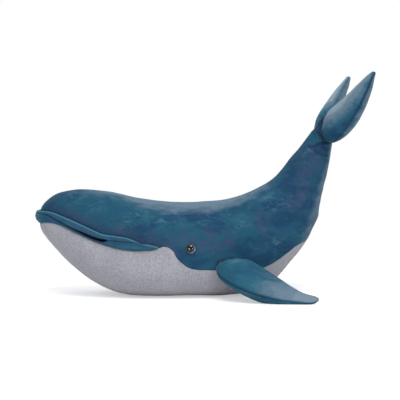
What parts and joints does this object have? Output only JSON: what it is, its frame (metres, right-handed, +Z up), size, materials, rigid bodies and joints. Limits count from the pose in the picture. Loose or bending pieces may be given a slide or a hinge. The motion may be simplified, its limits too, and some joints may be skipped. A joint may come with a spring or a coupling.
{
  "type": "plush whale",
  "caption": "Stuffed plush whale lying on its belly with its tail raised, sewn from blue plush and grey boucle, with padded lips, safety eyes, flippers and tail flukes that fold at their seams.",
  "frame": {"origin": "middle of the flat underside of the belly, on the whale's mid plane, at half the whale's length", "axes": "+X towards the tail, -X towards the nose, -Y towards the whale's left side, +Z up from the surface it lies on"},
  "size_m": [0.4722, 0.2799, 0.3182],
  "materials": {
    "blue_plush": "short mottled blue plush with a soft sheen",
    "grey_boucle": "grey curly boucle",
    "polyester_filling": "white polyester fibre filling",
    "bag_cloth": "undyed cloth bag filled with plastic pellets",
    "black_eye_plastic": "gloss black",
    "clear_eye_plastic": "clear gloss",
    "white_washer_plastic": "plain white"
  },
  "bodies": {
    "trunk": {"belly_panel": "grey_boucle", "body_stuffing": "polyester_filling", "eye_left_back": "black_eye_plastic", "eye_left_dome": "clear_eye_plastic", "eye_left_washer": "white_washer_plastic", "eye_right_back": "black_eye_plastic", "eye_right_dome": "clear_eye_plastic", "eye_right_washer": "white_washer_plastic", "head_stuffing": "polyester_filling", "lower_lip": "blue_plush", "lower_lip_filling": "polyester_filling", "pellet_bag": "bag_cloth", "side_panel_left": "blue_plush", "side_panel_right": "blue_plush", "upper_lip": "blue_plush", "upper_lip_filling": "polyester_filling"},
    "tail": {"tail_panel_left": "blue_plush", "tail_panel_right": "blue_plush", "tail_stuffing": "polyester_filling"},
    "flipper_left": {"flipper_left_stuffing": "polyester_filling", "flipper_left_top_panel": "blue_plush", "flipper_left_under_panel": "blue_plush"},
    "flipper_right": {"flipper_right_stuffing": "polyester_filling", "flipper_right_top_panel": "blue_plush", "flipper_right_under_panel": "blue_plush"},
    "fluke_left": {"fluke_left_front_panel": "blue_plush", "fluke_left_rear_panel": "blue_plush", "fluke_left_stuffing": "polyester_filling"},
    "fluke_right": {"fluke_right_front_panel": "blue_plush", "fluke_right_rear_panel": "blue_plush", "fluke_right_stuffing": "polyester_filling"}
  },
  "joints": [
    {"name": "tail_bend", "type": "hinge", "parent": "trunk", "child": "tail", "pos_m": [0.13653, 0, 0.13741], "axis": [0, 1, 0], "range_deg": [-15, 15], "stiffness_Nm_per_rad": 2},
    {"name": "flipper_left_lift", "type": "hinge", "parent": "trunk", "child": "flipper_left", "pos_m": [0.03438, -0.07546, 0.04923], "axis": [-0.9977, -0.0684, 0], "range_deg": [0, 50], "stiffness_Nm_per_rad": 0.15},
    {"name": "flipper_right_lift", "type": "hinge", "parent": "trunk", "child": "flipper_right", "pos_m": [0.03438, 0.07546, 0.04923], "axis": [0.9977, -0.0684, 0], "range_deg": [-15, 35], "stiffness_Nm_per_rad": 0.15},
    {"name": "fluke_left_fold", "type": "hinge", "parent": "tail", "child": "fluke_left", "pos_m": [0.17882, -0.00979, 0.23335], "axis": [-0.3479, 0, -0.9375], "range_deg": [-12, 40], "stiffness_Nm_per_rad": 0.3},
    {"name": "fluke_right_fold", "type": "hinge", "parent": "tail", "child": "fluke_right", "pos_m": [0.17882, 0.00979, 0.23335], "axis": [0.3479, 0, 0.9375], "range_deg": [-12, 40], "stiffness_Nm_per_rad": 0.3}
  ]
}
